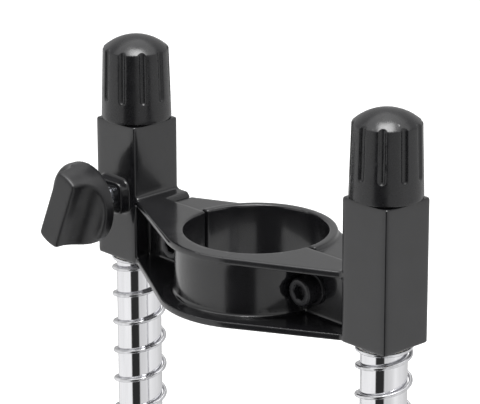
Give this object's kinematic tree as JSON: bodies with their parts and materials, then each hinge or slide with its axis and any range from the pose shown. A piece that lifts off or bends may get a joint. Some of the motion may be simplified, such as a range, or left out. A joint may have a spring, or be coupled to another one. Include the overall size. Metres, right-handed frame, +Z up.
{
  "type": "mobile drill stand",
  "caption": "Portable drill guide stand: a split collar clamp on a carriage that slides down two sprung chromed columns, with a wing lock knob and a round base.",
  "frame": {"origin": "centre of the round base, on the ground under the collar's axis", "axes": "+Z up along the collar's axis, +X along the row of columns, away from the lock knob, +Y to the rear jaw"},
  "size_m": [0.15, 0.15, 0.3143],
  "materials": {
    "cast_black": "satin black enamel on die-cast metal",
    "cap_plastic": "satin moulded black plastic",
    "knob_plastic": "fine matt moulded black plastic",
    "chrome": "polished chrome on ground steel",
    "spring_wire": "bright plated spring wire",
    "black_steel": "black oxide",
    "zinc_steel": "bright zinc plate",
    "brass": "turned",
    "bush_plastic": "natural bearing plastic",
    "sole_rubber": "matt black rubber"
  },
  "bodies": {
    "stand": {"base_plate": "cast_black", "base_sole": "sole_rubber", "column_left": "chrome", "column_right": "chrome", "grub_screw_left": "black_steel", "grub_screw_right": "black_steel", "spring_left": "spring_wire", "spring_right": "spring_wire", "cap_left": "cap_plastic", "cap_right": "cap_plastic", "cap_insert_left": "brass", "cap_insert_right": "brass"},
    "carriage": {"carriage": "cast_black", "bush_upper_left": "bush_plastic", "bush_upper_right": "bush_plastic", "bush_lower_left": "bush_plastic", "bush_lower_right": "bush_plastic", "clamp_washer_left": "black_steel", "clamp_washer_right": "black_steel"},
    "rear_jaw": {"rear_jaw": "cast_black", "clamp_nut_left": "zinc_steel", "clamp_nut_right": "zinc_steel"},
    "clamp_screw_left": {"clamp_screw_left": "black_steel"},
    "clamp_screw_right": {"clamp_screw_right": "black_steel"},
    "lock_pad": {"lock_pad": "brass"},
    "lock_knob": {"lock_knob": "knob_plastic", "lock_stud": "zinc_steel"}
  },
  "joints": [
    {"name": "carriage_slide", "type": "slide", "parent": "stand", "child": "carriage", "axis": [0, 0, 1], "range_m": [-0.15, 0], "stiffness_N_per_m": 640, "springref_m": 0.045, "deforming": ["spring_left", "spring_right"]},
    {"name": "clamp_left_turn", "type": "hinge", "parent": "carriage", "child": "clamp_screw_left", "pos_m": [-0.0275, -0.0094, 0.25545], "axis": [0, -1, 0], "range_deg": [0, 1080]},
    {"name": "clamp_right_turn", "type": "hinge", "parent": "carriage", "child": "clamp_screw_right", "pos_m": [0.0275, -0.0094, 0.25545], "axis": [0, -1, 0], "range_deg": [0, 1080]},
    {"name": "jaw_slide", "type": "slide", "parent": "carriage", "child": "rear_jaw", "axis": [0, 1, 0], "range_m": [0, 0.0024]},
    {"name": "lock_advance", "type": "slide", "parent": "carriage", "child": "lock_pad", "axis": [0, 1, 0], "range_m": [-0.001, 0.0005]},
    {"name": "lock_turn", "type": "hinge", "parent": "lock_pad", "child": "lock_knob", "pos_m": [-0.05275, -0.025, 0.266], "axis": [0, 1, 0], "range_deg": [-360, 180]}
  ],
  "couplings": [
    {"joint": "clamp_left_turn", "follows": "jaw_slide", "rad_per_m": 7854},
    {"joint": "clamp_right_turn", "follows": "jaw_slide", "rad_per_m": 7854},
    {"joint": "lock_turn", "follows": "lock_advance", "rad_per_m": 6283.2}
  ]
}
